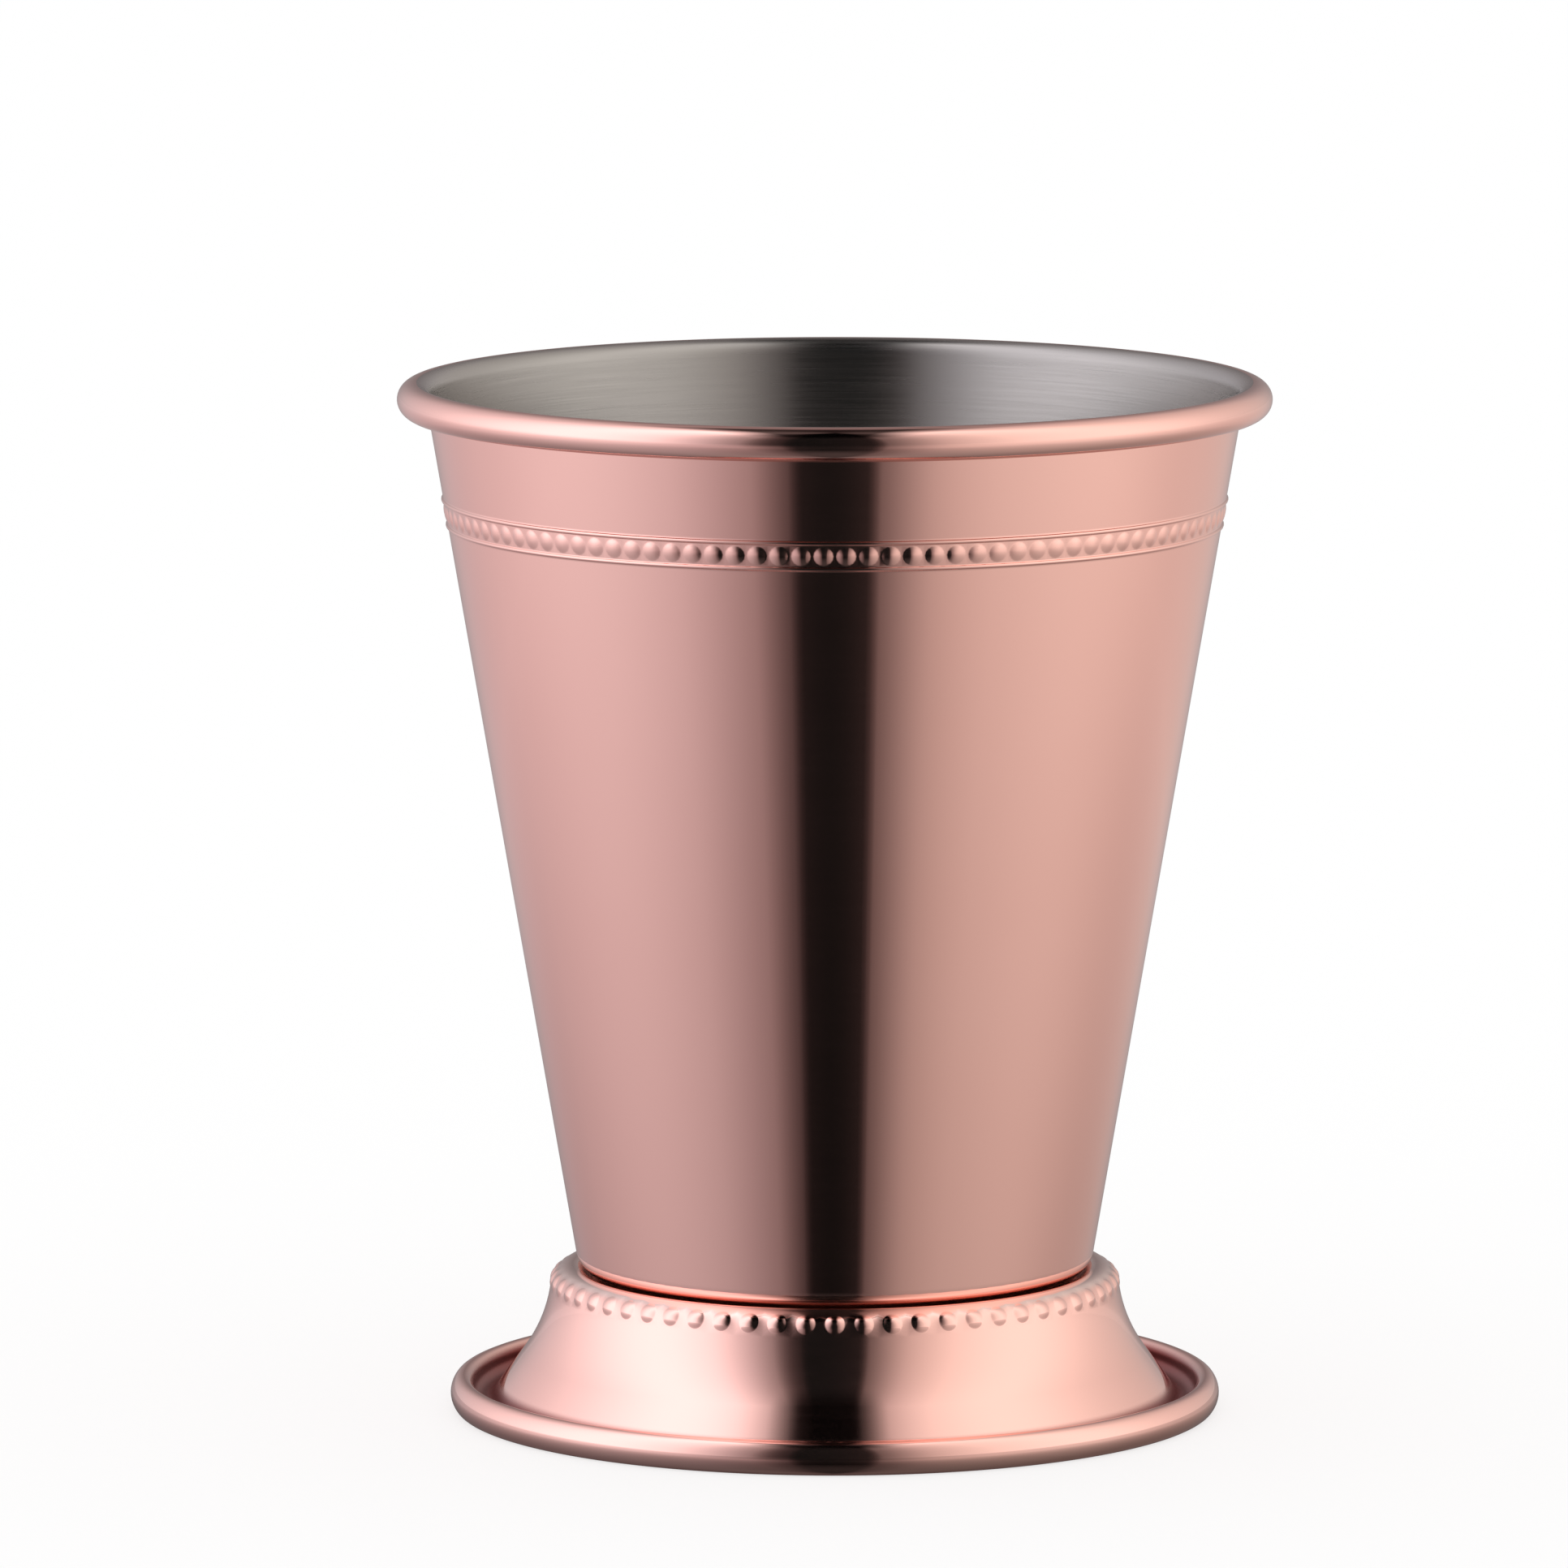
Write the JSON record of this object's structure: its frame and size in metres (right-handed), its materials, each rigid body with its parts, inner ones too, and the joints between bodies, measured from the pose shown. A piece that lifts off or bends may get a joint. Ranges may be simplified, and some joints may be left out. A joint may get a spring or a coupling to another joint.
{
  "type": "julep cup",
  "caption": "Tapered metal drinking cup, copper plated outside and steel inside, with a rolled rim, a band of beads under it and a flared, beaded foot.",
  "frame": {"origin": "centre of the ring that the foot stands on, on the cup's axis", "axes": "+Z along the cup's axis, up through the mouth; the cup is round, so +X and +Y are any two square directions, with a gap between two beads of each row on -Y"},
  "size_m": [0.095, 0.095, 0.113],
  "materials": {
    "copper_plate": "polished",
    "foot_copper_plate": "polished",
    "braze": "satin"
  },
  "bodies": {
    "root": {"tumbler": "copper_plate", "foot": "foot_copper_plate", "braze_seam": "braze"}
  },
  "joints": []
}
